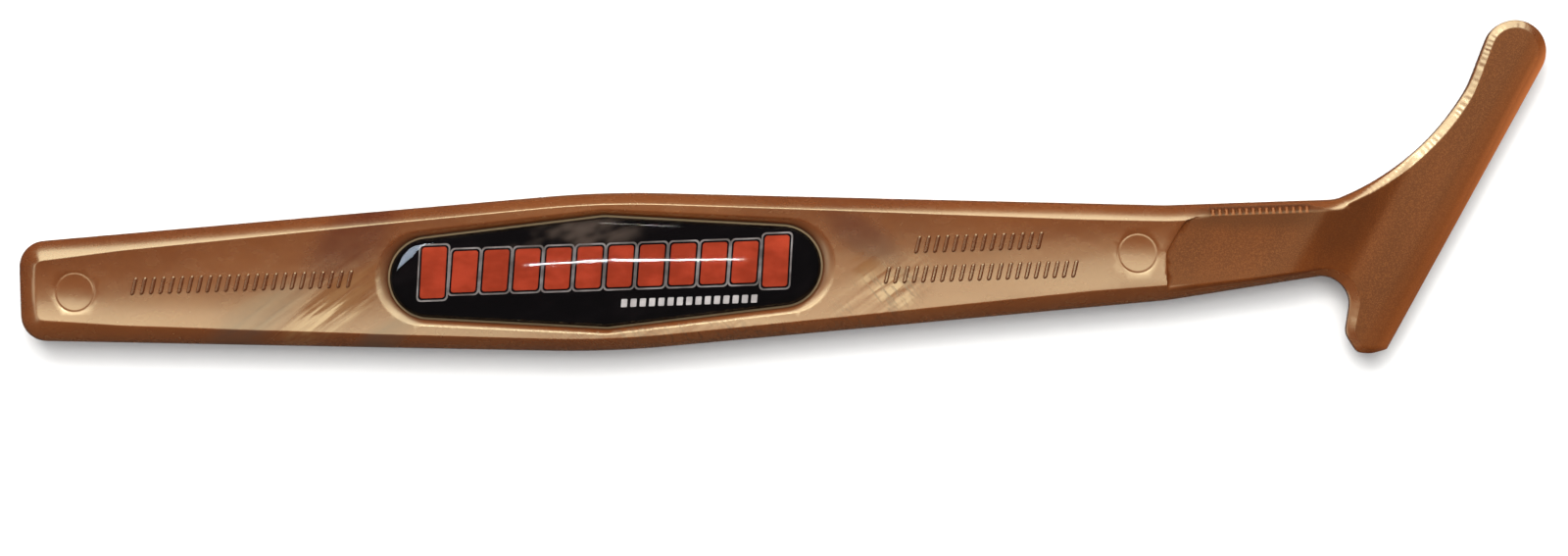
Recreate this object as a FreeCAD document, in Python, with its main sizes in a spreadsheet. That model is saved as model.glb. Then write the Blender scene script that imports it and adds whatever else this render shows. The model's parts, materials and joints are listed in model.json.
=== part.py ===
import FreeCAD, Part
import math
import os

import Sketcher
from FreeCAD import Placement, Rotation, Vector

# Hand squeegee for vehicle film: a moulded handle with a domed badge, and a skewed T-shaped
# blade that bends at the foot of its ramp.
#
# Frame, in millimetres: the origin is on the flat back, under the handle's axis at its widest
# station. +X runs along the handle to the blade, +Z out of the front, +Y to the blade's long arm.
# "Ahead" is the distance along the direction square to the working edge, in the XY plane.

SIZES = [
    # handle
    ("rear_reach", 72.7, "widest station to the rear end"),
    ("rear_half", 6.05, "half width at the rear end"),
    ("rear_round", 3.2, "round of the rear corners, seen from the front"),
    ("waist_half", 9.93, "half width at the widest station, before rounding"),
    ("waist_round", 130.0, "round of the widest station"),
    ("handle_thick", 6.0, "back to front"),
    ("rim_bevel", 1.5, "bevel of the handle's front and back rims"),
    ("shoulder_reach", 69.6, "widest station to the neck"),
    ("shoulder_half", 5.88, "half width where the neck starts"),
    # neck
    ("neck_reach", 89.0, "widest station to the neck's lower corner"),
    ("neck_low", 3.5, "lower corner, below the axis"),
    ("neck_corner_round", 0.6, "round of that corner"),
    ("neck_step", 0.33, "neck face below the handle face, on each side"),
    ("step_rise_reach", 71.5, "end of the slanted stretch of the step"),
    ("step_rise", 3.3, "height of that end over the axis"),
    # head outline
    ("edge_angle", 59.2, "working edge to the handle's axis, in degrees"),
    ("edge_ahead", 89.62, "working edge ahead of the origin"),
    ("edge_start", 38.4, "lower end of the working edge, along its direction"),
    ("edge_end", 78.45, "upper end of the working edge, where the tip's round starts"),
    ("tip_radius", 3.9, "round tip of the long arm, tangent to the working edge"),
    ("arm_back_angle", 157.2, "where the tip's round meets the arm's back, in degrees"),
    ("arm_bend_x", 108.1, "bend in the arm's back"),
    ("arm_bend_y", 20.0, "bend in the arm's back"),
    ("arm_bend_round", 15.0, "round of that bend"),
    ("arm_sweep", 31.94, "radius of the hollow back of the long arm"),
    ("arm_root", 90.84, "where that hollow meets the top of the neck"),
    ("arm_root_round", 7.0, "round there"),
    ("throat_sweep", 3.5, "radius of the hollow under the neck"),
    ("throat_x", 92.25, "lower end of that hollow"),
    ("throat_y", 7.2, "lower end of that hollow, below the axis"),
    ("heel_x", 91.5, "heel of the short wing"),
    ("heel_y", 10.6, "heel of the short wing, below the axis"),
    ("heel_round", 1.6, "round of the heel"),
    ("toe_x", 93.1, "toe of the short wing"),
    ("toe_y", 13.5, "toe of the short wing, below the axis"),
    ("toe_round", 1.2, "round of the toe"),
    # ramp, bending line and blade, measured back from the working edge
    ("ramp_top", 15.1, "working edge to the top of the ramp"),
    ("ramp_foot", 8.6, "working edge to the foot of the ramp, which is the bending line"),
    ("blade_thick", 2.2, "blade plate"),
    ("edge_bevel", 3.0, "width of the thinned strip along the working edge"),
    ("edge_thick", 0.6, "thickness at the working edge"),
    ("blade_rim", 0.5, "chamfer of the blade's front and back rims"),
    ("bend_gap", 0.05, "radial gap between the blade's round root and its groove"),
    ("lip_angle", 65.0, "reach of the groove's lips round the root, in degrees"),
    # badge and its recess
    ("badge_reach", 26.7, "half length of the badge"),
    ("badge_half", 6.8, "half width of the badge at its middle"),
    ("badge_end", 4.9, "radius of the badge's round ends"),
    ("recess_gap", 0.25, "recess floor beyond the badge, all round"),
    ("recess_reach", 28.5, "half length of the recess at the handle's face"),
    ("recess_half", 7.8, "half width of the recess at its middle, at the face"),
    ("recess_end", 5.9, "radius of the recess's ends at the face"),
    ("recess_deep", 1.1, "handle's face to the recess floor"),
    ("glue_thick", 0.1, "adhesive sheet"),
    ("film_thick", 0.15, "printed film"),
    ("dome_thick", 1.15, "clear dome at its crown"),
    ("dome_round", 0.9, "rounded rim of the dome"),
    # magnet
    ("magnet_round", 5.0, "radius of the disc magnet"),
    ("magnet_thick", 3.0, "disc magnet"),
    ("magnet_gap", 0.05, "radial gap round the magnet"),
    # small moulded marks
    ("pin_mark", 2.5, "radius of an ejector pin's mark"),
    ("pin_mark_deep", 0.1, "depth of the mark"),
    ("pin_mark_reach", 65.8, "marks before and behind the widest station"),
    ("dash_wide", 0.55, "one raised dash, along the handle"),
    ("dash_tall", 2.2, "one raised dash, across the handle"),
    ("dash_lean", 0.6, "lean of a dash over its height"),
    ("dash_high", 0.2, "dash above the handle's face"),
    ("dash_pitch", 1.16, "dash to dash"),
    ("rib_first", 75.4, "first small notch on the neck's upper rim"),
    ("rib_pitch", 0.83, "notch to notch"),
    ("rib_radius", 0.28, "notch radius, its axis in the neck's face"),
    ("rib_start", 4.4, "notches start at this height over the axis"),
    # reach of the sketches that cut material away
    ("far", 150.0, "past every end of the tool"),
    ("margin", 5.0, "past a face that stays uncut"),
]
RIB_COUNT = 15
# name, first dash along X, row's middle along Y, number of dashes
DASH_ROWS = [
    ("rear_row", -58.6, 0.2, 24),
    ("front_upper_row", 38.5, 2.05, 14),
    ("front_lower_row", 34.6, -1.6, 21),
]
SAME = 1e-6     # lengths and volumes that differ by less are the same
NEARBY = 0.05   # an edge this close to a corner stands at it

doc = FreeCAD.newDocument("film_squeegee")
sheet = doc.addObject("Spreadsheet::Sheet", "Sizes")
for row, (alias, value, meaning) in enumerate(SIZES, start=1):
    sheet.set(f"A{row}", alias)
    sheet.set(f"B{row}", str(value))
    sheet.setAlias(f"B{row}", alias)
    sheet.set(f"C{row}", meaning)
doc.recompute()


def amount(expression):
    """The present value of an expression of the sheet's aliases."""
    value = sheet.evalExpression(expression)
    return float(getattr(value, "Value", value))


def bound(expression):
    """The same expression as other objects write it, with the sheet's name before each alias."""
    aliases = {alias for alias, _, _ in SIZES}
    words = ""
    word = ""
    for letter in expression + " ":
        if letter.isalnum() or letter == "_":
            word += letter
        else:
            words += ("Sizes." + word if word in aliases else word) + letter
            word = ""
    return words.strip()


def new_body(label, level="0"):
    """A body whose own origin stands at level over the tool's back."""
    body = doc.addObject("PartDesign::Body", label)
    body.Label = label
    body.setExpression(".Placement.Base.z", bound(level))
    return body


def new_sketch(body, name, plane="XY_Plane", level="0"):
    """A sketch on one of the body's own origin planes, raised by level along its normal."""
    sketch = body.newObject("Sketcher::SketchObject", name)
    support = next(f for f in body.Origin.OriginFeatures if f.Role == plane)
    sketch.AttachmentSupport = [(support, "")]
    sketch.MapMode = "FlatFace"
    sketch.setExpression(".AttachmentOffset.Base.z", bound(level))
    return sketch


def edge_section_sketch(body, name):
    """A sketch square to the working edge: its X is the distance ahead, its Y is the height."""
    sketch = new_sketch(body, name, "XZ_Plane")
    turn = Rotation(Vector(0, 1, 0), amount("edge_angle - 90"))
    sketch.AttachmentOffset = Placement(Vector(0, 0, 0), turn)
    sketch.setExpression(".AttachmentOffset.Rotation.Angle", bound("(edge_angle - 90) * 1 deg"))
    return sketch


def hold(sketch, kind, places, expression, name):
    """One dimension of a sketch, bound to the sheet."""
    index = sketch.addConstraint(Sketcher.Constraint(kind, *places, amount(expression)))
    sketch.renameConstraint(index, name)
    sketch.setExpression("Constraints." + name, bound(expression))


def closed_loop(sketch, prefix, corners, arcs=None):
    """A closed outline through corners given as expressions.

    arcs maps a side's number to (radius, left): that side is an arc whose centre lies to the
    left or the right of the way from its first corner to its last.
    """
    arcs = arcs or {}
    spots = [Vector(amount(x), amount(y), 0) for x, y in corners]
    count = len(corners)
    sides = []
    for number in range(count):
        start, end = spots[number], spots[(number + 1) % count]
        if number not in arcs:
            sides.append((sketch.addGeometry(Part.LineSegment(start, end)), 1, 2))
            continue
        radius, left = arcs[number]
        half = (end - start).Length / 2
        across = Vector(0, 0, 1).cross(end - start).normalize()
        reach = math.sqrt(amount(radius) ** 2 - half ** 2)
        side = 1 if left else -1
        middle = (start + end) / 2 + across * side * (reach - amount(radius))
        arc = Part.Arc(start, middle, end).toShape().Curve
        centre = arc.Center
        first = math.atan2(start.y - centre.y, start.x - centre.x)
        last = math.atan2(end.y - centre.y, end.x - centre.x)
        circle = Part.Circle(centre, Vector(0, 0, 1), amount(radius))
        if left:
            sides.append((sketch.addGeometry(Part.ArcOfCircle(circle, first, last)), 1, 2))
        else:
            sides.append((sketch.addGeometry(Part.ArcOfCircle(circle, last, first)), 2, 1))
        hold(sketch, "Radius", (sides[-1][0],), radius, f"{prefix}_radius_{number}")
    for number in range(count):
        side, start, _ = sides[number]
        before, _, end = sides[number - 1]
        sketch.addConstraint(Sketcher.Constraint("Coincident", before, end, side, start))
        x, y = corners[number]
        hold(sketch, "DistanceX", (-1, 1, side, start), x, f"{prefix}_x_{number}")
        hold(sketch, "DistanceY", (-1, 1, side, start), y, f"{prefix}_y_{number}")


def badge_loop(sketch, reach, half, end):
    """A long hexagon with round ends: four straight sides, each tangent to an end's arc."""
    length, width, radius = amount(reach), amount(half), amount(end)
    centre = length - radius
    right_arc = Part.Circle(Vector(centre, 0, 0), Vector(0, 0, 1), radius)
    left_arc = Part.Circle(Vector(-centre, 0, 0), Vector(0, 0, 1), radius)
    quarter = math.pi / 2
    right = sketch.addGeometry(Part.ArcOfCircle(right_arc, -quarter, quarter))
    left = sketch.addGeometry(Part.ArcOfCircle(left_arc, quarter, 3 * quarter))
    for name, apex_y, near, far in (("top", width, (right, 2), (left, 1)),
                                    ("bottom", -width, (right, 1), (left, 2))):
        side = math.copysign(radius, apex_y)
        apex = Vector(0, apex_y, 0)
        ahead = sketch.addGeometry(Part.LineSegment(apex, Vector(centre, side, 0)))
        behind = sketch.addGeometry(Part.LineSegment(apex, Vector(-centre, side, 0)))
        sketch.addConstraint(Sketcher.Constraint("Coincident", ahead, 1, behind, 1))
        sketch.addConstraint(Sketcher.Constraint("Tangent", ahead, 2, *near))
        sketch.addConstraint(Sketcher.Constraint("Tangent", behind, 2, *far))
        sketch.addConstraint(Sketcher.Constraint("PointOnObject", ahead, 1, -2))
        sign = "" if apex_y > 0 else "-"
        hold(sketch, "DistanceY", (-1, 1, ahead, 1), f"{sign}({half})", f"{name}_apex")
    for name, arc, sign in (("right", right, ""), ("left", left, "-")):
        sketch.addConstraint(Sketcher.Constraint("PointOnObject", arc, 3, -1))
        hold(sketch, "Radius", (arc,), end, f"{name}_radius")
        hold(sketch, "DistanceX", (-1, 1, arc, 3), f"{sign}({reach} - {end})", f"{name}_centre")


def round_hole(sketch, x, y, radius, name):
    circle = Part.Circle(Vector(amount(x), amount(y), 0), Vector(0, 0, 1), amount(radius))
    index = sketch.addGeometry(circle)
    hold(sketch, "Radius", (index,), radius, name + "_radius")
    hold(sketch, "DistanceX", (-1, 1, index, 3), x, name + "_x")
    hold(sketch, "DistanceY", (-1, 1, index, 3), y, name + "_y")


def pad(body, sketch, name, length):
    feature = body.newObject("PartDesign::Pad", name)
    feature.Profile = sketch
    feature.setExpression("Length", bound(length))
    doc.recompute()
    return feature


def pocket(body, sketch, name, length, reverse=False, both_ways=False):
    """Cuts down from the sketch, up if reversed, or both ways for a section's waste."""
    before = body.Tip.Shape.Volume
    feature = body.newObject("PartDesign::Pocket", name)
    feature.Profile = sketch
    feature.Reversed = reverse
    if both_ways:
        feature.SideType = "Symmetric"
    feature.setExpression("Length", bound(length))
    doc.recompute()
    if feature.Shape.isNull() or feature.Shape.Volume >= before - SAME:
        raise SystemExit(f"{name} cut nothing")
    return feature


def repeat_along_handle(body, feature, name, pitch, count):
    pattern = body.newObject("PartDesign::LinearPattern", name)
    pattern.Originals = [feature]
    axis = next(f for f in body.Origin.OriginFeatures if f.Role == "X_Axis")
    pattern.Direction = (axis, [""])
    pattern.Mode = "Spacing"
    pattern.setExpression("Offset", bound(pitch))
    pattern.Occurrences = count
    body.Tip = pattern
    doc.recompute()
    return pattern


def change_edges(body, name, kind, size, wanted):
    """A Fillet or a Chamfer on those edges of the body so far that pass the test."""
    base = body.Tip
    names = [f"Edge{n}" for n, edge in enumerate(base.Shape.Edges, start=1) if wanted(edge)]
    if not names:
        raise SystemExit(f"{name} found no edge")
    feature = body.newObject("PartDesign::" + kind, name)
    feature.Base = (base, names)
    feature.setExpression("Radius" if kind == "Fillet" else "Size", bound(size))
    doc.recompute()
    return feature


def upright_at(*corners):
    """A test for upright edges that stand at any of these corners of an outline."""
    spots = [(amount(x), amount(y)) for x, y in corners]

    def wanted(edge):
        ends = [v.Point for v in edge.Vertexes]
        if len(ends) != 2 or abs(ends[0].z - ends[1].z) < SAME:
            return False
        return any(all(math.hypot(p.x - x, p.y - y) < NEARBY for p in ends) for x, y in spots)

    return wanted


def from_edge(ahead, along):
    """The corner that lies ahead of the origin square to the working edge, and along the edge."""
    return (f"{ahead} * sin(edge_angle) + {along} * cos(edge_angle)",
            f"{along} * sin(edge_angle) - {ahead} * cos(edge_angle)")


def ahead_of(point):
    """How far a point lies ahead of the origin, square to the working edge."""
    turn = math.radians(amount("edge_angle"))
    return point.x * math.sin(turn) - point.y * math.cos(turn)


# ---- the moulding's outline, shared by the handle and the blade ----

REAR_LOW = ("-rear_reach", "-rear_half")
WAIST_LOW = ("0", "-waist_half")
SHOULDER_LOW = ("shoulder_reach", "-shoulder_half")
NECK_LOW = ("neck_reach", "-neck_low")
THROAT = ("throat_x", "-throat_y")
HEEL = ("heel_x", "-heel_y")
TOE = ("toe_x", "-toe_y")
EDGE_LOW = from_edge("edge_ahead", "edge_start")
EDGE_HIGH = from_edge("edge_ahead", "edge_end")
TIP_X, TIP_Y = from_edge("(edge_ahead - tip_radius)", "edge_end")
TIP_TOP = (TIP_X, f"{TIP_Y} + tip_radius")
TIP_BACK = (f"{TIP_X} + tip_radius * cos(arm_back_angle)",
            f"{TIP_Y} + tip_radius * sin(arm_back_angle)")
ARM_BEND = ("arm_bend_x", "arm_bend_y")
ARM_ROOT = ("arm_root", "shoulder_half")
SHOULDER_HIGH = ("shoulder_reach", "shoulder_half")
WAIST_HIGH = ("0", "waist_half")
REAR_HIGH = ("-rear_reach", "rear_half")

OUTLINE = [REAR_LOW, WAIST_LOW, SHOULDER_LOW, NECK_LOW, THROAT, HEEL, TOE, EDGE_LOW, EDGE_HIGH,
           TIP_TOP, TIP_BACK, ARM_BEND, ARM_ROOT, SHOULDER_HIGH, WAIST_HIGH, REAR_HIGH]
OUTLINE_ARCS = {
    OUTLINE.index(NECK_LOW): ("throat_sweep", False),
    OUTLINE.index(EDGE_HIGH): ("tip_radius", True),
    OUTLINE.index(TIP_TOP): ("tip_radius", True),
    OUTLINE.index(ARM_BEND): ("arm_sweep", False),
}
CORNER_ROUNDS = [
    ("rear_corners", "rear_round", [REAR_LOW, REAR_HIGH]),
    ("waist", "waist_round", [WAIST_LOW, WAIST_HIGH]),
    ("neck_corner", "neck_corner_round", [NECK_LOW]),
    ("heel", "heel_round", [HEEL]),
    ("toe", "toe_round", [TOE]),
    ("arm_bend", "arm_bend_round", [ARM_BEND]),
    ("arm_root", "arm_root_round", [ARM_ROOT]),
]


def moulding_blank(body, level, thickness):
    """The whole tool's outline as a flat plate, its corners rounded."""
    label = body.Label
    outline = new_sketch(body, label + "_outline", "XY_Plane", level)
    closed_loop(outline, "outline", OUTLINE, OUTLINE_ARCS)
    pad(body, outline, label + "_blank", thickness)
    for name, radius, corners in CORNER_ROUNDS:
        change_edges(body, f"{label}_{name}", "Fillet", radius, upright_at(*corners))


def bevel_rims(body, name, size, spared=lambda point: False):
    """Bevels the plate's front and back rims, apart from those whose both ends are spared."""
    levels = (body.Tip.Shape.BoundBox.ZMin, body.Tip.Shape.BoundBox.ZMax)

    def rim(edge):
        ends = [v.Point for v in edge.Vertexes]
        flat = any(all(abs(p.z - level) < SAME for p in ends) for level in levels)
        return flat and not all(spared(p) for p in ends)

    change_edges(body, name, "Chamfer", size, rim)


def section_waste(body, name, section, arcs=None):
    """Cuts away everything outside a section square to the working edge."""
    sketch = edge_section_sketch(body, name + "_section")
    closed_loop(sketch, "waste", [
        ("-2 * far", "-far"), ("2 * far", "-far"), ("2 * far", "far"), ("-2 * far", "far"),
    ])
    closed_loop(sketch, "keep", section, arcs)
    pocket(body, sketch, name, "2 * far", both_ways=True)


# ---- handle and neck ----

BEND = "(edge_ahead - ramp_foot)"
RAMP_TOP = "(edge_ahead - ramp_top)"
GROOVE = "(blade_thick / 2 + bend_gap)"
LIP = f"({BEND} - {GROOVE} * cos(lip_angle))"
LIP_HALF = f"({GROOVE} * sin(lip_angle))"
RAMP_SLOPE = "((handle_thick / 2 - neck_step - blade_thick / 2) / (ramp_top - ramp_foot))"
MIDDLE = "handle_thick / 2"
RECESS_FLOOR = "handle_thick - recess_deep"
LIP_OUTER = f"(blade_thick / 2 + {RAMP_SLOPE} * {GROOVE} * cos(lip_angle))"


def handle():
    body = new_body("handle")
    moulding_blank(body, "0", "handle_thick")

    # The head is cut off short of the bending line before the rims are rounded.
    head = new_sketch(body, "head_cut", "XY_Plane", "handle_thick")
    closed_loop(head, "head", [
        from_edge(BEND, "-far"), from_edge(f"({BEND} + far)", "-far"),
        from_edge(f"({BEND} + far)", "far"), from_edge(BEND, "far"),
    ])
    pocket(body, head, "head_cut_off", "handle_thick")

    bend = amount(BEND)
    bevel_rims(body, "handle_rims", "rim_bevel", lambda point: abs(ahead_of(point) - bend) < NEARBY)

    # The neck's faces lie a little below the handle's; the step runs square to the axis below
    # it and slants with the working edge above it.
    for side, level, reverse in (("front", "handle_thick", False), ("back", "0", True)):
        step = new_sketch(body, f"neck_{side}", "XY_Plane", level)
        closed_loop(step, "step", [
            ("shoulder_reach", "-far"), ("shoulder_reach + far", "-far"),
            ("shoulder_reach + far", "far"), ("step_rise_reach", "far"),
            ("step_rise_reach", "step_rise"), ("shoulder_reach", "0"),
        ])
        pocket(body, step, f"neck_{side}_face", "neck_step", reverse)

    # The ramp down to the blade's thickness, and the groove that the blade's round root fills.
    section_waste(body, "ramp", [
        ("-far", "-margin"), (RAMP_TOP, "-margin"), (RAMP_TOP, "neck_step"),
        (LIP, f"{MIDDLE} - {LIP_OUTER}"), (LIP, f"{MIDDLE} - {LIP_HALF}"),
        (LIP, f"{MIDDLE} + {LIP_HALF}"), (LIP, f"{MIDDLE} + {LIP_OUTER}"),
        (RAMP_TOP, "handle_thick - neck_step"), (RAMP_TOP, "handle_thick + margin"),
        ("-far", "handle_thick + margin"),
    ], {4: (GROOVE, False)})

    # The badge's recess narrows from the face to its floor, and the magnet lies under the floor.
    mouth = new_sketch(body, "recess_mouth", "XY_Plane", "handle_thick")
    badge_loop(mouth, "recess_reach", "recess_half", "recess_end")
    floor = new_sketch(body, "recess_floor", "XY_Plane", RECESS_FLOOR)
    badge_loop(floor, "badge_reach + recess_gap", "badge_half + recess_gap",
               "badge_end + recess_gap")
    recess = body.newObject("PartDesign::SubtractiveLoft", "recess")
    recess.Profile = mouth
    recess.Sections = [floor]
    recess.Ruled = True
    doc.recompute()
    seat = new_sketch(body, "magnet_seat", "XY_Plane", RECESS_FLOOR)
    round_hole(seat, "0", "0", "magnet_round + magnet_gap", "seat")
    pocket(body, seat, "magnet_pocket", "magnet_thick")

    marks = new_sketch(body, "pin_marks", "XY_Plane", "handle_thick")
    round_hole(marks, "pin_mark_reach", "0", "pin_mark", "front")
    round_hole(marks, "-pin_mark_reach", "0", "pin_mark", "rear")
    pocket(body, marks, "pin_mark_discs", "pin_mark_deep")

    for name, first, row_y, count in DASH_ROWS:
        dash = new_sketch(body, name, "XY_Plane", "handle_thick")
        closed_loop(dash, "dash", [
            (f"{first}", f"{row_y} - dash_tall / 2"),
            (f"{first} + dash_wide", f"{row_y} - dash_tall / 2"),
            (f"{first} + dash_wide + dash_lean", f"{row_y} + dash_tall / 2"),
            (f"{first} + dash_lean", f"{row_y} + dash_tall / 2"),
        ])
        raised = pad(body, dash, name + "_dash", "dash_high")
        repeat_along_handle(body, raised, name + "_dashes", "dash_pitch", count)

    rib = new_sketch(body, "rib_notch", "XZ_Plane", "-rib_start")
    round_hole(rib, "rib_first", "handle_thick - neck_step", "rib_radius", "notch")
    notch = pocket(body, rib, "rib_notch_cut", "shoulder_half")
    repeat_along_handle(body, notch, "rib_notches", "rib_pitch", RIB_COUNT)
    return body


# ---- blade ----


def blade():
    """The T-shaped head: a plate with a half-round root, thinned along its working edge."""
    body = new_body("blade")
    back = f"{MIDDLE} - blade_thick / 2"
    front = f"{MIDDLE} + blade_thick / 2"
    moulding_blank(body, back, "blade_thick")
    bevel_rims(body, "blade_rims", "blade_rim")
    section_waste(body, "plate", [
        (BEND, back),
        ("edge_ahead - edge_bevel", back),
        ("edge_ahead", f"{MIDDLE} - edge_thick / 2"),
        ("edge_ahead", f"{MIDDLE} + edge_thick / 2"),
        ("edge_ahead - edge_bevel", front),
        (BEND, front),
        (f"{BEND} - blade_thick / 2", MIDDLE),
    ], {5: ("blade_thick / 2", True), 6: ("blade_thick / 2", True)})
    return body


# ---- magnet and badge ----


def magnet():
    body = new_body("magnet", f"{RECESS_FLOOR} - magnet_thick")
    disc = new_sketch(body, "magnet_outline")
    round_hole(disc, "0", "0", "magnet_round", "disc")
    pad(body, disc, "magnet_disc", "magnet_thick")
    return body


def badge_layer(label, under, thickness):
    """One layer of the badge, above the layers already under it in the recess."""
    body = new_body(label, f"{RECESS_FLOOR} + {under}")
    outline = new_sketch(body, label + "_outline")
    badge_loop(outline, "badge_reach", "badge_half", "badge_end")
    pad(body, outline, label + "_sheet", thickness)
    return body


def badge_dome():
    body = badge_layer("badge_dome", "glue_thick + film_thick", "dome_thick")
    crown = amount("dome_thick")
    change_edges(body, "dome_rim", "Fillet", "dome_round",
                 lambda edge: all(abs(v.Point.z - crown) < SAME for v in edge.Vertexes))
    return body


# ---- the whole tool ----

pieces = [
    handle(),
    blade(),
    magnet(),
    badge_layer("badge_adhesive", "0", "glue_thick"),
    badge_layer("badge_film", "glue_thick", "film_thick"),
    badge_dome(),
]
doc.recompute()

for thing in doc.Objects:
    if "Invalid" in thing.State or "Error" in thing.State:
        raise SystemExit(f"{thing.Label} failed: {thing.State}")
for piece in pieces:
    shape = piece.Shape
    if shape.isNull() or not shape.isValid() or len(shape.Solids) != 1:
        raise SystemExit(f"{piece.Label} isn't one valid solid")

os.makedirs("parts", exist_ok=True)
for piece in pieces:
    piece.Shape.exportStep(f"parts/{piece.Label}.step")
    box = piece.Shape.optimalBoundingBox()
    print(f"{piece.Label}: {piece.Shape.Volume:.1f} mm3, X {box.XMin:.2f} to {box.XMax:.2f}, "
          f"Y {box.YMin:.2f} to {box.YMax:.2f}, Z {box.ZMin:.2f} to {box.ZMax:.2f}")
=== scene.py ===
import json
import math

import bmesh
import bpy
import numpy as np
from mathutils import Matrix, Vector, geometry, kdtree


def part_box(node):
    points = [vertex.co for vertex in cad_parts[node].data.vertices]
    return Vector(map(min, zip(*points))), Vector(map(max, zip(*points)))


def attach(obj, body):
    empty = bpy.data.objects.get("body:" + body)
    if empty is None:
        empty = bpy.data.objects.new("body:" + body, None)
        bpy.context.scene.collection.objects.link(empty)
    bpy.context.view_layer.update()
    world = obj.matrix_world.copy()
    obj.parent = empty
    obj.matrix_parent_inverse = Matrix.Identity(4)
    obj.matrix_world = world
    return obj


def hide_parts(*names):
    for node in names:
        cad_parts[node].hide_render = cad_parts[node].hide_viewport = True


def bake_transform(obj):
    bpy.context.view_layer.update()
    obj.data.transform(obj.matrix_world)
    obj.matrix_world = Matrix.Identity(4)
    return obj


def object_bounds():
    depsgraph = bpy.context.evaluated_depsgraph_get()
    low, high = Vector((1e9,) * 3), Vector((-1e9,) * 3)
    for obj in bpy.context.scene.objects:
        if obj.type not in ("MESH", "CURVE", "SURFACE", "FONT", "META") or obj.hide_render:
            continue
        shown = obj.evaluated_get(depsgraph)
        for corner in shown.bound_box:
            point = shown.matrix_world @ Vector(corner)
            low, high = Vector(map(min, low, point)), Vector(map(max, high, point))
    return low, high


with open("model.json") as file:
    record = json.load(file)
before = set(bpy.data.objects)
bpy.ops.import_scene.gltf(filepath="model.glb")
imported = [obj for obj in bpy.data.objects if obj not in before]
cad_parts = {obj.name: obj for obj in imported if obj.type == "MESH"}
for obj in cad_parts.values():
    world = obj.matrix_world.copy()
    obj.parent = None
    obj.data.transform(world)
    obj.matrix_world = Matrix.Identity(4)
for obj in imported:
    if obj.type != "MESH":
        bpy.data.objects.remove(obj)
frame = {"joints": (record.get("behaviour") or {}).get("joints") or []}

# Hand squeegee for vehicle film. Everything below is worked out in millimetres in the frame's own
# axes: +X along the handle to the blade, +Y to the blade's long arm, +Z out of the front.

MM = 0.001
cad_box = [list(corner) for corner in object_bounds()]


def node_box(name):
    low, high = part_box(name)
    return low / MM, high / MM


# ---- places read from the frame ----

handle_low, handle_high = node_box("handle")
blade_low, blade_high = node_box("blade")
film_high = node_box("badge_film")[1]
dome_high = node_box("badge_dome")[1]
glue_low = node_box("badge_adhesive")[0]

flex = frame["joints"][0]
BEND = Vector(flex["pos_m"]) / MM
ALONG = Vector(flex["axis"]).normalized()
AHEAD = Vector((ALONG.y, -ALONG.x, 0.0))

# The handle's highest points are its raised dashes. HALF is the middle plane's height.
DASH_HIGH = 0.2
HALF = (handle_high.z - DASH_HIGH) / 2
BLADE_HALF = (blade_high.z - blade_low.z) / 2
RECESS_FLOOR = glue_low.z
REAR = handle_low.x
BEND_AHEAD = BEND.dot(AHEAD)

# ---- driving sizes ----

# Handle and neck: half widths, the waist's round, and the start of the neck.
REAR_HALF = 6.05
WAIST_HALF = 9.93
WAIST_ROUND = 130.0
SHOULDER = 69.6
SHOULDER_HALF = 5.88

# Thicknesses: the neck, the ramp down to the blade, and the bevel and lip along the working edge.
NECK_HALF = HALF - 0.26
RAMP_LONG = 6.5
BLADE_LONG = 8.6
EDGE_BEVEL = 3.0
EDGE_LIP = 1.2
BEVEL_DROPS = (0.06, 0.28)
EDGE_HALF = 0.3
CORNER_TAPS = (-0.28, -0.14, 0, 0.14, 0.28)

# Hollow of the handle's face at the waist and at the neck, how far it leans to one side, and
# hollow of the neck's face with its half width and how far before the ramp it runs out.
DISH = 0.32
NECK_END_DISH = 0.24
DISH_LOPSIDED = 0.4
NECK_DISH, NECK_DISH_HALF, NECK_DISH_FADE = 0.1, 4.4, 4

# Rims: the upright part of the side as a share of the thickness, and how straight the slope is.
SIDE_WALL, HEAD_SIDE_WALL = 0.33, 0.6
RIM_CREST, HEAD_RIM_CREST = 0.5, 0.8
RING_SHARES = (0.03, 0.08, 0.16, 0.28, 0.42, 0.56, 0.7, 0.8, 0.9, 0.96, 1.0, 1.06)
RIPPLE_DEEP = 0.022

# Blade: radius of the long arm's tip, and both ends of the working edge along its direction.
TIP_RADIUS = 3.9
TIP_ALONG = 78.45
TOE_ALONG = 38.4

# Round ejector-pin marks: places, radius, half width and depth of the groove, and the hollow.
PIN_MARKS = ((-65.7, -0.3), (65.9, 0.05))
PIN_RADIUS = 2.45
PIN_GROOVE, PIN_GROOVE_DEEP = 0.16, 0.055
PIN_HOLLOW = 0.09
PIN_RINGS = (0.8, 1.6, PIN_RADIUS - 0.3, PIN_RADIUS - 0.16, PIN_RADIUS - 0.07, PIN_RADIUS,
             PIN_RADIUS + 0.07, PIN_RADIUS + 0.16)

# Small teeth along the top of the neck: stations, phases of the points down each tooth and gap,
# the band across the rim, and the teeth's slope down from the rim's crest.
RIB_START, RIB_PITCH, RIB_COUNT = 75.0, 0.83, 15
RIB_END = RIB_START + RIB_COUNT * RIB_PITCH
RIB_PHASES = (0.0, 0.1, 0.16, 0.23, 0.3, 0.38, 0.5, 0.62, 0.7, 0.77, 0.84, 0.9)
RIB_LOW, RIB_HIGH = 4.1, 5.55
TOOTH_SLOPE, CREST_DEPTH, CREST_FADE = 0.21, 1.46, 0.12

# The slanted step from the handle's face down to the neck's, from low to high, and its width.
STEP_WIDE = 0.2
STEP_LINE = ((69.5, -9.0), (69.5, 0.0), (70.2, 1.25), (71.4, 3.1), (72.1, 3.85), (73.1, 4.25),
             (73.9, 4.7), (74.2, 5.4), (74.3, 9.0))


def edge_point(ahead, along):
    """A point given by its distances square to and along the working edge."""
    spot = AHEAD * ahead + ALONG * along
    return spot.x, spot.y


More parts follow.
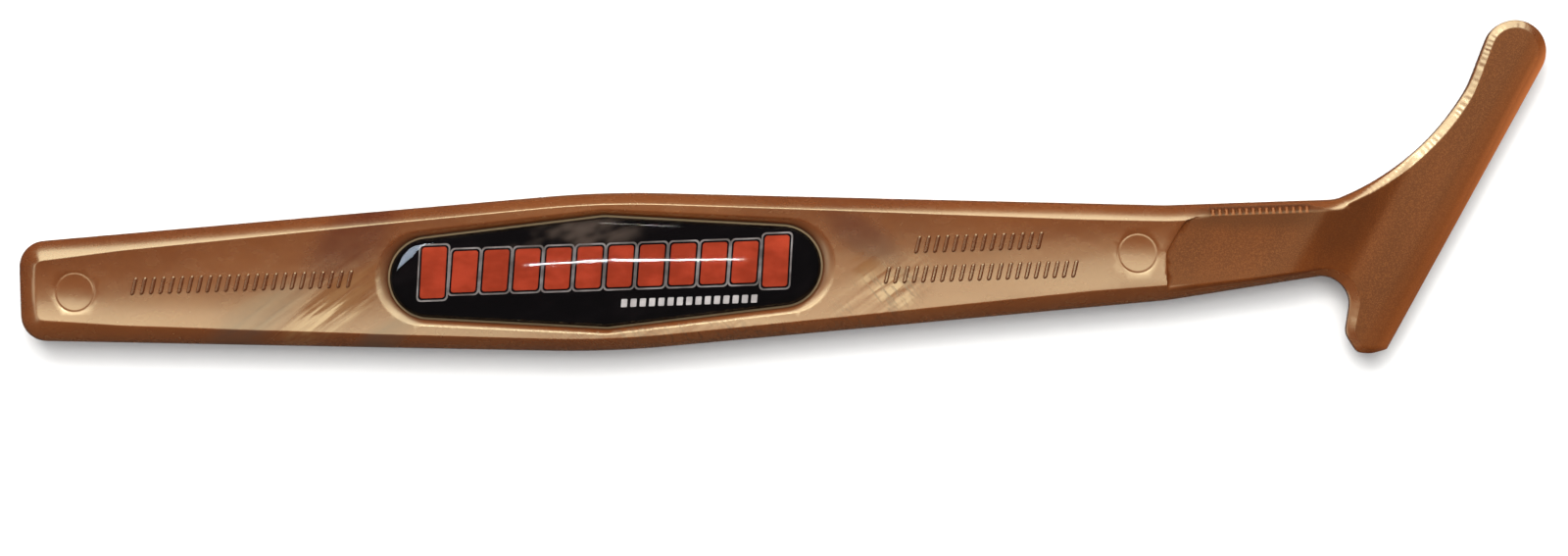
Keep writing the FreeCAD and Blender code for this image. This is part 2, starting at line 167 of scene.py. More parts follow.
EDGE_AHEAD = BEND_AHEAD + BLADE_LONG
TIP_CENTRE = edge_point(EDGE_AHEAD - TIP_RADIUS, TIP_ALONG)
EDGE_LOW = edge_point(EDGE_AHEAD, TOE_ALONG)


def side_half(x):
    """Half width of the handle's straight sides, before the waist is rounded."""
    reach = np.where(np.less(x, 0), -REAR, SHOULDER)
    end = np.where(np.less(x, 0), REAR_HALF, SHOULDER_HALF)
    return WAIST_HALF + (end - WAIST_HALF) * np.abs(x) / reach


# ---- the outline ----
# Stations in order round the outline, from the rear end along the lower side. A corner is
# (x, y, round, rim); an arc is (centre x, centre y, radius, start, end, rim), angles in degrees.
# rim is how wide the rounded rim is there, seen from the front.

OUTLINE = [
    (REAR, 0.0, 0, 3.0),
    (REAR, -REAR_HALF, 3.2, 2.5),
    (-60, -side_half(-60), 0, 2.05),
    (-28, -side_half(-28), 0, 1.62),
    (0.0, -WAIST_HALF, WAIST_ROUND, 1.45),
    (30, -side_half(30), 0, 1.62),
    (60, -side_half(60), 0, 1.95),
    (SHOULDER, -SHOULDER_HALF, 12.0, 1.8),
    (80.0, -4.6, 0, 1.35),
    (88.95, -3.5, 0.8, 1.15),
    (88.72, -7.05, 3.5, 84, -2, 1.25),
    (91.52, -10.7, 1.6, 1.1),
    (92.95, -13.2, 0.8, 0.75),
    (94.7, -13.38, 2.5, 0.45),
    (*EDGE_LOW, 0, 0.18),
    (*TIP_CENTRE, TIP_RADIUS, -30.8, 157, 1.0),
    (108.1, 20.0, 14.0, 1.0),
    (80.59, 36.12, 31.94, -32.5, -70.6, 1.15),
    (90.84, SHOULDER_HALF, 6.5, 1.75),
    (80.0, SHOULDER_HALF, 0, 1.9),
    (SHOULDER, SHOULDER_HALF, 12.0, 1.95),
    (60, side_half(60), 0, 2.0),
    (30, side_half(30), 0, 1.62),
    (0.0, WAIST_HALF, WAIST_ROUND, 1.42),
    (-28, side_half(-28), 0, 1.62),
    (-60, side_half(-60), 0, 2.05),
    (REAR, REAR_HALF, 3.2, 2.5),
]


def arc_points(centre, radius, start, end, step=0.25):
    count = max(3, int(abs(math.radians(end - start)) * radius / step))
    turns = np.radians(np.linspace(start, end, count))
    return np.column_stack((centre[0] + radius * np.cos(turns), centre[1] + radius * np.sin(turns)))


def rounded_corner(before, corner, after, radius):
    """The arc that rounds a corner between two straight legs."""
    into = Vector(corner) - Vector(before)
    out = Vector(after) - Vector(corner)
    turn = into.angle_signed(out)
    reach = radius * math.tan(abs(turn) / 2)
    start = Vector(corner) - into.normalized() * reach
    side = -1 if turn > 0 else 1
    across = Vector((-into.y, into.x)).normalized() * side
    centre = start + across * radius
    first = math.degrees(math.atan2(start.y - centre.y, start.x - centre.x))
    return arc_points(centre, radius, first, first - math.degrees(turn))


def stretch(stations):
    """The points of a closed outline and its rim width at each, about 0.25 mm apart."""
    arcs = [arc_points(station[:2], *station[2:5]) if len(station) == 6
            else np.array([station[:2]]) for station in stations]
    pieces, rims = [], []
    for number, (station, points) in enumerate(zip(stations, arcs)):
        if len(station) == 4 and station[2] > 0:
            after = arcs[(number + 1) % len(stations)][0]
            points = rounded_corner(arcs[number - 1][-1], station[:2], after, station[2])
        pieces.append(points)
        rims.append(np.full(len(points), station[-1]))
    return np.vstack(pieces), np.concatenate(rims)


def resample(points, values, gap):
    """Even steps round a closed line, given how far apart the steps should be at each point."""
    closed = np.vstack((points, points[:1]))
    held = np.append(values, values[0])
    legs = np.hypot(*np.diff(closed, axis=0).T)
    length = np.concatenate(([0], np.cumsum(legs)))
    fine = np.linspace(0, length[-1], int(length[-1] / 0.02), endpoint=False)
    x = np.interp(fine, length, closed[:, 0])
    y = np.interp(fine, length, closed[:, 1])
    density = np.cumsum(1 / gap(x, y))
    steps = int(density[-1] * (fine[1] - fine[0]))
    wanted = np.interp(np.linspace(density[0], density[-1], steps, endpoint=False), density, fine)
    spots = np.column_stack((np.interp(wanted, length, closed[:, 0]),
                             np.interp(wanted, length, closed[:, 1])))
    return spots, np.interp(wanted, length, held), wanted


def softened(points, values, reach, sharp):
    """Averages each point with its neighbours, except near a corner that stays sharp."""
    window = np.hanning(2 * reach + 3)[1:-1]
    window /= window.sum()
    near = np.hypot(points[:, 0] - sharp[0], points[:, 1] - sharp[1])
    keep = np.clip((1.2 - near) / 0.8, 0, 1)[:, None]
    padded = np.vstack((points[-reach:], points, points[:reach]))
    rounded = np.column_stack([np.convolve(padded[:, k], window, "valid") for k in (0, 1)])
    padded = np.concatenate((values[-4 * reach:], values, values[:4 * reach]))
    wide = np.hanning(8 * reach + 3)[1:-1]
    eased = np.convolve(padded, wide / wide.sum(), "valid")
    return points * keep + rounded * (1 - keep), eased


def outline_gap(x, y):
    """Finer steps where the rim carries small moulded or machined marks."""
    ribs = (x > RIB_START - 0.5) & (x < RIB_END + 0.5) & (y > 0)
    arm = (x > 93) & (BEND_AHEAD + 4.5 > x * AHEAD.x + y * AHEAD.y)
    return np.where(ribs, 0.138, np.where(arm, 0.16, 0.34))


rough, rough_rim = stretch(OUTLINE)
even, even_rim, _ = resample(rough, rough_rim, lambda x, y: np.full_like(x, 0.1))
soft, soft_rim = softened(even, even_rim, 6, EDGE_LOW)
outline, rim_width, outline_length = resample(soft, soft_rim, outline_gap)


class Border:
    """Distances from a closed line: how far inside it a point lies, and what is nearest."""

    def __init__(self, points):
        self.points = points
        self.tree = kdtree.KDTree(len(points))
        for number, (x, y) in enumerate(points):
            self.tree.insert((x, y, 0), number)
        self.tree.balance()
        ahead = np.roll(points, -1, axis=0) - np.roll(points, 1, axis=0)
        ahead /= np.hypot(*ahead.T)[:, None]
        self.inward = np.column_stack((-ahead[:, 1], ahead[:, 0]))

    def measure(self, spots):
        """For each spot: distance inside the line, and the nearest place as a fractional index."""
        near = np.array([self.tree.find((x, y, 0))[1] for x, y in spots])
        count = len(self.points)
        best = np.full(len(spots), np.inf)
        place = near.astype(float)
        side = np.zeros(len(spots))
        for shift in (-1, 0):
            first = (near + shift) % count
            start, end = self.points[first], self.points[(first + 1) % count]
            leg = end - start
            share = ((spots - start) * leg).sum(1) / (leg ** 2).sum(1)
            share = np.clip(share, 0, 1)
            gap = spots - start - leg * share[:, None]
            distance = np.hypot(*gap.T)
            better = distance < best
            best = np.where(better, distance, best)
            place = np.where(better, first + share, place)
            cross = leg[:, 0] * gap[:, 1] - leg[:, 1] * gap[:, 0]
            side = np.where(better, np.sign(cross), side)
        return best * np.where(side < 0, -1, 1), place

    def read(self, values, place):
        """Values held at the line's points, read between them."""
        count = len(self.points)
        first = np.floor(place).astype(int) % count
        share = place - np.floor(place)
        return values[first] * (1 - share) + values[(first + 1) % count] * share


border = Border(outline)


# ---- heights, measured from the middle plane of the moulding ----

def smooth(value, low, high):
    share = np.clip((value - low) / (high - low), 0, 1)
    return share * share * (3 - 2 * share)


def ahead_of(spots):
    return spots[:, 0] * AHEAD.x + spots[:, 1] * AHEAD.y


def plate_half(ahead, neck):
    """Half thickness along the direction square to the working edge: neck, ramp, blade, bevel."""
    stations = (BEND_AHEAD - RAMP_LONG, BEND_AHEAD, EDGE_AHEAD - EDGE_BEVEL, EDGE_AHEAD - EDGE_LIP,
                EDGE_AHEAD)
    halves = (neck, BLADE_HALF, *(BLADE_HALF - drop for drop in BEVEL_DROPS), EDGE_HALF)
    return sum(np.interp(ahead + tap, stations, halves) for tap in CORNER_TAPS) / len(CORNER_TAPS)


def step_share(spots):
    """0 on the handle's face and 1 on the neck's lower face, across the slanted step."""
    line = np.array(STEP_LINE)
    x_at = np.interp(spots[:, 1], line[:, 1], line[:, 0])
    start, end = line[:-1], line[1:]
    best = np.full(len(spots), np.inf)
    for a, b in zip(start, end):
        leg = b - a
        share = np.clip(((spots - a) @ leg) / (leg @ leg), 0, 1)
        best = np.minimum(best, np.hypot(*(spots - a - share[:, None] * leg).T))
    signed = np.where(spots[:, 0] > x_at, best, -best)
    return smooth(signed, -STEP_WIDE / 2, STEP_WIDE / 2)


def dish(spots):
    """The handle's face sinks a little towards its axis."""
    x = np.clip(spots[:, 0], REAR, SHOULDER)
    rim = np.interp(x, (REAR, -60, -28, 0, 30, 60, SHOULDER),
                    (2.5, 2.05, 1.62, 1.43, 1.62, 2.0, 1.95))
    crest = side_half(x) - rim
    share = np.clip(spots[:, 1] / crest, -1, 1)
    deep = np.interp(x, (0, SHOULDER), (DISH, NECK_END_DISH))
    lopsided = np.interp(x, (10, SHOULDER), (0, DISH_LOPSIDED))
    return deep * (1 - share ** 2) * (1 + lopsided * share)


def face_half(spots, front):
    ahead = ahead_of(spots)
    neck = plate_half(ahead, NECK_HALF)
    if front:
        ramp = BEND_AHEAD - RAMP_LONG
        hollow = np.clip(1 - (spots[:, 1] / NECK_DISH_HALF) ** 2, 0, 1)
        neck = neck - NECK_DISH * hollow * (1 - smooth(ahead, ramp - NECK_DISH_FADE, ramp))
    handle = HALF - (dish(spots) if front else 0)
    share = step_share(spots)
    return handle * (1 - share) + neck * share


def on_head(ahead):
    """0 behind the ramp, rising to 1 at the bending line."""
    return np.interp(ahead, (BEND_AHEAD - RAMP_LONG, BEND_AHEAD), (0, 1))


def rim_profile(share, ahead):
    """A convex rim, upright at the outline. The head's rim is closer to a plain bevel."""
    share = np.clip(share, 0, 1)
    straight = RIM_CREST + (HEAD_RIM_CREST - RIM_CREST) * on_head(ahead)
    return (1 - straight) * np.sqrt(1 - (1 - share) ** 2) + straight * share


def wall_half(ahead):
    return (SIDE_WALL + (HEAD_SIDE_WALL - SIDE_WALL) * on_head(ahead)) * plate_half(ahead, HALF)


def before_crest(depth):
    """1 on the neck's rim, 0 on its face."""
    return 1 - smooth(depth, CREST_DEPTH, CREST_DEPTH + CREST_FADE)


def rib_share(spots, depth):
    """1 on the small teeth along the top of the neck, 0 beside them."""
    inside = (spots[:, 0] > RIB_START) & (spots[:, 0] < RIB_END) & (spots[:, 1] > 0)
    phase = (spots[:, 0] - RIB_START) / RIB_PITCH % 1
    tooth = smooth(phase, 0.16, 0.38) * (1 - smooth(phase, 0.62, 0.84))
    return np.where(inside, tooth * smooth(depth, 0.6, 0.78) * before_crest(depth), 0)


def rib_columns():
    """Columns of points down the teeth's crests and flanks and the gaps between them."""
    x = np.concatenate([RIB_START + RIB_PITCH * (n + np.array(RIB_PHASES))
                        for n in range(RIB_COUNT)])
    y = np.arange(RIB_LOW + 0.05, RIB_HIGH - 0.05, 0.13)
    return np.array([(a, b) for a in x for b in y])


def in_ribs(spots):
    across = (spots[:, 1] > RIB_LOW) & (spots[:, 1] < RIB_HIGH)
    return across & (spots[:, 0] > RIB_START - 0.1) & (spots[:, 0] < RIB_END + 0.1)


def machining(spots, depth, width, place):
    """Uneven tool ripples on the rims of the head."""
    length = border.read(outline_length, place)
    ahead = ahead_of(spots)
    zone = smooth(spots[:, 0], 89.8, 92) * (1 - smooth(ahead, BEND_AHEAD + 3.6, BEND_AHEAD + 4.8))
    phase = 2 * np.pi * length / 0.75 + 2.6 * np.sin(length / 1.7) + 1.4 * np.sin(length / 0.71)
    uneven = 0.55 + 0.45 * np.sin(length / 1.13 + 1.2 * np.sin(length / 0.47))
    share = np.clip(depth / np.maximum(width, 0.1), 0, 1)
    band = smooth(share, 0.1, 0.4) * (1 - smooth(share, 0.9, 1.0))
    return RIPPLE_DEEP * zone * band * uneven * (1 + np.sin(phase))


def half_height(spots, front):
    """Height of the moulding's surface over its middle plane."""
    depth, place = border.measure(spots)
    width = border.read(rim_width, place)
    ahead = ahead_of(spots)
    face = face_half(spots, front)
    wall = wall_half(ahead)
    rim = wall + (plate_half(ahead, HALF) - wall) * rim_profile(depth / width, ahead)
    height = np.where(depth < width, np.minimum(face, rim), face)
    height -= machining(spots, depth, width, place)
    if front:
        tooth = NECK_HALF - TOOTH_SLOPE * np.maximum(CREST_DEPTH - depth, 0)
        height += np.maximum(tooth - height, 0) * rib_share(spots, depth)
        for x, y in PIN_MARKS:
            height -= pin_mark(np.hypot(spots[:, 0] - x, spots[:, 1] - y))
    return height


def pin_mark(radius):
    """A round mark: a fine groove round a shallow hollow."""
    groove = np.clip(1 - np.abs(radius - PIN_RADIUS) / PIN_GROOVE, 0, 1)
    hollow = np.clip(1 - (radius / PIN_RADIUS) ** 2, 0, 1)
    return PIN_GROOVE_DEEP * groove ** 0.7 + PIN_HOLLOW * hollow


# ---- a sheet of triangles over chosen lines and points ----

class Sheet:
    """Collects lines and points with heights, then triangulates them into one surface."""

    def __init__(self, height, edge):
        self.height = height
        self.spots, self.heights, self.lines = [], [], []
        self.count = 0
        self.edge_count = len(edge)
        self.add(edge, height(edge), closed=True)

    def add(self, points, heights=None, closed=False, line=True):
        points = np.asarray(points, float)
        if heights is None:
            heights = self.height(points)
        first = self.count
        self.spots.append(points)
        self.heights.append(np.broadcast_to(heights, (len(points),)))
        self.count += len(points)
        if line:
            legs = len(points) if closed else len(points) - 1
            self.lines += [(first + k, first + (k + 1) % len(points)) for k in range(legs)]

    def fill(self, points, clear):
        """Loose points, left out where they'd crowd what is already there."""
        tree = kdtree.KDTree(self.count)
        for number, (x, y) in enumerate(np.vstack(self.spots)):
            tree.insert((x, y, 0), number)
        tree.balance()
        kept = [p for p in points if tree.find((p[0], p[1], 0))[2] > clear]
        if kept:
            self.add(np.array(kept), line=False)

    def build(self):
        """Vertices with their heights, and triangles. The edge's points come first, in order."""
        spots = np.vstack(self.spots)
        heights = np.concatenate(self.heights)
        loop = [list(range(self.edge_count))]
        verts, _, faces, origin, _, _ = geometry.delaunay_2d_cdt(
            [Vector(p) for p in spots], self.lines, loop, 1, 1e-5, True)
        flat = np.array([tuple(v) for v in verts])
        made = np.array([not ids for ids in origin])
        height = np.array([heights[ids[0]] if ids else 0.0 for ids in origin])
        if made.any():
            height[made] = self.height(flat[made])
        order = np.full(len(flat), -1)
        for number, ids in enumerate(origin):
            for old in ids:
                if old < self.edge_count:
                    order[number] = old
        place = np.argsort(np.where(order < 0, self.edge_count + np.arange(len(flat)), order),
                           kind="stable")
        new_number = np.empty(len(flat), int)
        new_number[place] = np.arange(len(flat))
        faces = np.array(faces)
        inside = border.measure(flat[faces].mean(axis=1))[0] > 0
        triangles = new_number[faces[inside]]
        flat, height = flat[place], height[place]
        a, b, c = (flat[triangles[:, k]] for k in range(3))
        area = (b[:, 0] - a[:, 0]) * (c[:, 1] - a[:, 1]) - (b[:, 1] - a[:, 1]) * (c[:, 0] - a[:, 0])
        triangles[area < 0] = triangles[area < 0][:, ::-1]
        return flat, height, triangles.tolist()


def add_rings(sheet, ribbed):
    """Rings of points across the rim. The crest's ring is a line, the others are loose."""
    last = np.zeros(len(outline))
    for share in RING_SHARES:
        widths = rim_width * share
        moved = outline + border.inward * widths[:, None]
        crest = share == 1.0
        clear = border.measure(moved)[0] > widths - 0.02
        use = clear & (widths - last > (0.02 if crest else 0.045))
        if ribbed:
            use &= ~in_ribs(moved)
        last = np.where(use, widths, last)
        sheet.add(moved[use], line=crest)
        if crest:
            spots = np.vstack(sheet.spots)
            sheet.lines = [leg for leg in sheet.lines if math.dist(*spots[list(leg)]) < 1.2]


def grid(low, high, step):
    """Points in offset rows."""
    x, y = np.meshgrid(np.arange(low[0], high[0], step), np.arange(low[1], high[1], step * 0.87))
    x = x + (np.arange(x.shape[0]) % 2)[:, None] * step / 2
    return np.column_stack((x.ravel(), y.ravel()))


def inside_outline(points, depth):
    return points[border.measure(points)[0] > depth]


# ---- the badge's outline ----

def badge_loop(reach, half, radius, side_steps=60, end_steps=24):
    """A long hexagon with round ends, counter-clockwise from its lower apex."""
    centre = reach - radius
    slope = math.atan2(half, centre) - math.asin(radius / math.hypot(centre, half))
    turns = np.linspace(slope - math.pi / 2, math.pi / 2 - slope, end_steps)
    end = np.column_stack((centre + radius * np.cos(turns), radius * np.sin(turns)))
    down = np.linspace((0, -half), end[0], side_steps, endpoint=False)
    up = np.linspace(end[-1], (0, half), side_steps, endpoint=False)[1:]
    right = np.vstack((down, end, up))
    return np.vstack((right, -right))


BADGE_REACH = dome_high.x
BADGE_HALF = dome_high.y
BADGE_END = 4.9             # radius of its round ends
FLOOR_GAP = 0.25            # from the badge to the recess
MOUTH = (28.5, 7.75, 5.9)   # the recess at the face: reach, half width, radius of its ends
LIP_CREST = 0.35
LIP_SHARES = (0.0, 0.05, 0.13, 0.24, 0.37, 0.5, 0.64, 0.78, 0.9, 1.0)


def lip_profile(share):
    return (1 - LIP_CREST) * np.sqrt(1 - (1 - share) ** 2) + LIP_CREST * share


def add_recess(sheet):
    """The sloping rim of the badge's recess, down to its floor."""
    floor = badge_loop(BADGE_REACH + FLOOR_GAP, BADGE_HALF + FLOOR_GAP, BADGE_END + FLOOR_GAP)
    mouth = badge_loop(*MOUTH)
    floor_height = RECESS_FLOOR - HALF
    mouth_height = sheet.height(mouth)
    for share in LIP_SHARES:
        ring = floor + (mouth - floor) * share
        height = floor_height + (mouth_height - floor_height) * lip_profile(share)
        sheet.add(ring, height, closed=True)
    sheet.add(mouth + (mouth - floor) / np.hypot(*(mouth - floor).T)[:, None] * 0.12, line=False)


# ---- raised dashes in place of the moulded lettering ----

# A dash is so wide, so tall, and leans so far. Its profile is (inset, height), and a row is
# (first x, middle y, count, pitch).
DASH = (0.55, 2.2, 0.6)
DASH_PROFILE = ((0.0, 0.0), (0.03, 0.08), (0.08, 0.135), (0.15, 0.175), (0.22, 0.19))
DASH_ROWS = ((-58.6, 0.2, 24, 1.16), (38.5, 2.05, 14, 1.16), (34.6, -1.6, 21, 1.16))


def add_dashes(sheet):
    wide, tall, lean = DASH
    for first, middle, count, pitch in DASH_ROWS:
        for number in range(count):
            x = first + number * pitch
            for inset, high in DASH_PROFILE:
                half_wide, half_tall = wide / 2 - inset, tall / 2 - inset
                turns = np.radians(np.linspace(0, 180, 9))
                end = np.column_stack((np.cos(turns), np.sin(turns))) * half_wide
                straight = half_tall - half_wide
                down = np.linspace((-half_wide, straight), (-half_wide, -straight), 7)[1:-1]
                shape = np.vstack((end + (0, straight), down, -end - (0, straight), -down))
                shape[:, 0] += shape[:, 1] / tall * lean + x + wide / 2
                shape[:, 1] += middle
                sheet.add(shape, sheet.height(shape) + high, closed=True)


def on_dash(spots):
    """1 on the raised dashes, 0 beside them."""
    wide, tall, lean = DASH
    share = np.zeros(len(spots))
    for first, middle, count, pitch in DASH_ROWS:
        y = spots[:, 1] - middle
        x = spots[:, 0] - first - wide / 2 - y / tall * lean
        number = np.clip(np.round(x / pitch), 0, count - 1)
        beyond = np.maximum(np.abs(y) - (tall - wide) / 2, 0)
        reach = np.hypot(x - number * pitch, beyond)
        share = np.maximum(share, 1 - smooth(reach, wide / 2 - 0.05, wide / 2 + 0.01))
    return share


# ---- the moulding ----

def new_object(name, verts, faces, smooth_angle):
    mesh = bpy.data.meshes.new(name)
    mesh.from_pydata([tuple(v) for v in np.asarray(verts) * MM], [], faces)
    mesh.validate()
    thing = bpy.data.objects.new(name, mesh)
    bpy.context.collection.objects.link(thing)
    mesh.shade_smooth()
    mesh.set_sharp_from_angle(angle=math.radians(smooth_angle))
    return thing


def store(thing, name, values):
    attribute = thing.data.attributes.new(name, "FLOAT", "POINT")
    attribute.data.foreach_set("value", np.asarray(values, np.float32))


def store_rest(thing):
    """Keeps each vertex's rest place, so that patterns don't slide when the blade bends."""
    count = len(thing.data.vertices)
    places = np.empty(count * 3, np.float32)
    thing.data.vertices.foreach_get("co", places)
    attribute = thing.data.attributes.new("rest_place", "FLOAT_VECTOR", "POINT")
    attribute.data.foreach_set("vector", places / MM)


def fill_points(sheet, recess=None):
    handle = grid((REAR, -9), (SHOULDER + 1, 9), 0.95)
    head = grid((SHOULDER + 1, -14), (blade_high.x, blade_high.y), 0.62)
    points = inside_outline(np.vstack((handle, head)), 0.3)
    if recess is not None:
        points = points[recess.measure(points)[0] < -0.15]
    sheet.fill(points, 0.22)


def front_sheet():
    sheet = Sheet(lambda spots: half_height(spots, True), outline)
    add_rings(sheet, True)
    line = np.array(STEP_LINE)
    fine = np.column_stack([np.interp(np.arange(0, len(line) - 1, 0.1), np.arange(len(line)),
                                      line[:, k]) for k in (0, 1)])
    along = np.gradient(fine, axis=0)
    across = np.column_stack((along[:, 1], -along[:, 0])) / np.hypot(*along.T)[:, None]
    for offset in (-0.5, -0.2, 0.0, 0.2, 0.5):
        step = fine + across * STEP_WIDE * offset
        sheet.add(inside_outline(step, 0.3), line=offset == 0)
    add_recess(sheet)
    for x, y in PIN_MARKS:
        for radius in PIN_RINGS:
            sheet.add(arc_points((x, y), radius, 0, 360, 0.2)[:-1], line=False)
    add_dashes(sheet)
    sheet.add(rib_columns(), line=False)
    fill_points(sheet, Border(badge_loop(*MOUTH)))
    return sheet.build()


def back_sheet():
    sheet = Sheet(lambda spots: half_height(spots, False), outline)
    add_rings(sheet, False)
    fill_points(sheet)
    return sheet.build()


def moulding():
    """Handle, neck and blade as the one moulding that they are."""
    front_flat, front_height, front_faces = front_sheet()
    back_flat, back_height, back_faces = back_sheet()
    around = len(outline)
    verts = [np.column_stack((front_flat, HALF + front_height))]
    faces = list(front_faces)
    first_back = len(front_flat)
    verts.append(np.column_stack((back_flat, HALF - back_height)))
    faces += [[v + first_back for v in reversed(face)] for face in back_faces]
    middle = first_back + len(back_flat)
    verts.append(np.column_stack((outline, np.full(around, HALF))))
    for k in range(around):
        after = (k + 1) % around
        faces.append([k, middle + k, middle + after, after])
        faces.append([middle + k, first_back + k, first_back + after, middle + after])
    return new_object("moulding", np.vstack(verts), faces, 40)


# ---- the badge's dome ----

DOME_SPINE = BADGE_REACH - BADGE_END
DOME_INSET = 0.06
DOME_SUNK = 0.05
DOME_TOP_GAP = 0.03
DOME_CROWN = 0.09
DOME_SHARES = (1.0, 0.999, 0.996, 0.991, 0.984, 0.974, 0.96, 0.943, 0.92, 0.89, 0.85, 0.8, 0.7,
               0.6, 0.5, 0.4, 0.3, 0.2, 0.1, 0.0)


def dome_profile(share, x):
    """A low crown and a bulging meniscus edge, which is rounder at the badge's ends."""
    power = np.interp(np.abs(x), (14, BADGE_REACH), (16, 4.5))
    bulge = np.sqrt(np.clip(1 - share ** power, 0, 1))
    return (1 - DOME_CROWN) * bulge + DOME_CROWN * (1 - share ** 2)


def dome():
    edge = badge_loop(BADGE_REACH - DOME_INSET, BADGE_HALF - DOME_INSET, BADGE_END - DOME_INSET)
    around = len(edge)
    spine = np.column_stack((np.clip(edge[:, 0], -DOME_SPINE, DOME_SPINE), np.zeros(around)))
    low, high = film_high.z, dome_high.z - DOME_TOP_GAP
    rings = [np.column_stack((edge, np.full(around, low - DOME_SUNK)))]
    for share in DOME_SHARES:
        ring = spine + (edge - spine) * share
        rings.append(np.column_stack((ring, low + (high - low) * dome_profile(share, edge[:, 0]))))
    verts = np.vstack(rings)
    faces = [list(range(around - 1, -1, -1))]
    for ring in range(len(rings) - 1):
        for k in range(around):
            after = (k + 1) % around
            faces.append([ring * around + k, ring * around + after,
                          (ring + 1) * around + after, (ring + 1) * around + k])
    thing = new_object("clear_dome", verts, faces, 50)
    edit = bmesh.new()
    edit.from_mesh(thing.data)
    bmesh.ops.remove_doubles(edit, verts=edit.verts, dist=0.004 * MM)
    bmesh.ops.dissolve_degenerate(edit, dist=0.002 * MM, edges=edit.edges)
    edit.to_mesh(thing.data)
    edit.free()
    return thing


# ---- the badge's print ----
# A plain row of slanted blocks with a pale outline, and a row of small dashes under it.

INK_LEVEL, RED_OVER_LINE, INK_THICK = 0.012, 0.004, 0.004
LINE_OUTER, LINE_INNER = 0.42, 0.22
# Blocks: count, first x, pitch, middle y, width, lean, and the height of a block and of the two
# at the ends. Dashes: count, first x, pitch, middle y, width, height, lean, round of the corners.
BLOCKS = (12, -21.3, 3.86, 0.62, 3.05, 0.55, 5.1, 6.3)
SMALL_DASHES = (15, 2.2, 1.15, -3.95, 0.75, 1.0, 0.12, 0.12)


def slanted_block(x, y, wide, tall, lean, grow=0.0, corner=0.35):
    """The rounded outline of one slanted block, anticlockwise."""
    half_wide, half_tall = wide / 2 + grow, tall / 2 + grow
    corner = corner + grow * 0.5
    points = []
    for sx, sy, start in ((1, -1, -90), (1, 1, 0), (-1, 1, 90), (-1, -1, 180)):
        turns = np.radians(np.linspace(start, start + 90, 8))
        arc = np.column_stack((np.cos(turns), np.sin(turns))) * corner
        points.append(arc + (sx * (half_wide - corner), sy * (half_tall - corner)))
    shape = np.vstack(points)
    shape[:, 0] += shape[:, 1] / tall * lean
    return shape + (x, y)


def block_shapes():
    count, first, pitch, middle, wide, lean, tall, end_tall = BLOCKS
    for number in range(count):
        at_end = number in (0, count - 1)
        yield first + number * pitch, middle, wide, end_tall if at_end else tall, lean


def prints(name, shapes, level, hole=None):
    """Thin printed shapes lying on the film. With a hole, each is a ring round its inner shape."""
    verts, faces = [], []
    for number, shape in enumerate(shapes):
        first = sum(len(v) for v in verts)
        count = len(shape)
        low = np.column_stack((shape, np.full(count, level - INK_THICK)))
        top = np.column_stack((shape, np.full(count, level)))
        if hole is None:
            verts.append(np.vstack((low, top)))
            faces.append([first + count + k for k in range(count)])
        else:
            inner = hole[number]
            verts.append(np.vstack((low, top, np.column_stack((inner, np.full(count, level))))))
        for k in range(count):
            after = (k + 1) % count
            faces.append([first + k, first + after, first + count + after, first + count + k])
            if hole is not None:
                faces.append([first + count + k, first + count + after,
                              first + 2 * count + after, first + 2 * count + k])
    return new_object(name, np.vstack(verts), faces, 30)


def badge_print():
    level = film_high.z + INK_LEVEL
    blocks = list(block_shapes())
    outer = [slanted_block(*block, grow=LINE_OUTER) for block in blocks]
    inner = [slanted_block(*block, grow=LINE_INNER) for block in blocks]
    red = [slanted_block(*block) for block in blocks]
    pale_line = prints("print_outline", outer, level, hole=inner)
    red_blocks = prints("print_blocks", red, level + RED_OVER_LINE)
    count, first, pitch, middle, wide, tall, lean, corner = SMALL_DASHES
    small = [slanted_block(first + number * pitch, middle, wide, tall, lean, corner=corner)
             for number in range(count)]
    small_dashes = prints("print_dashes", small, level)
    return pale_line, red_blocks, small_dashes


# ---- materials ----

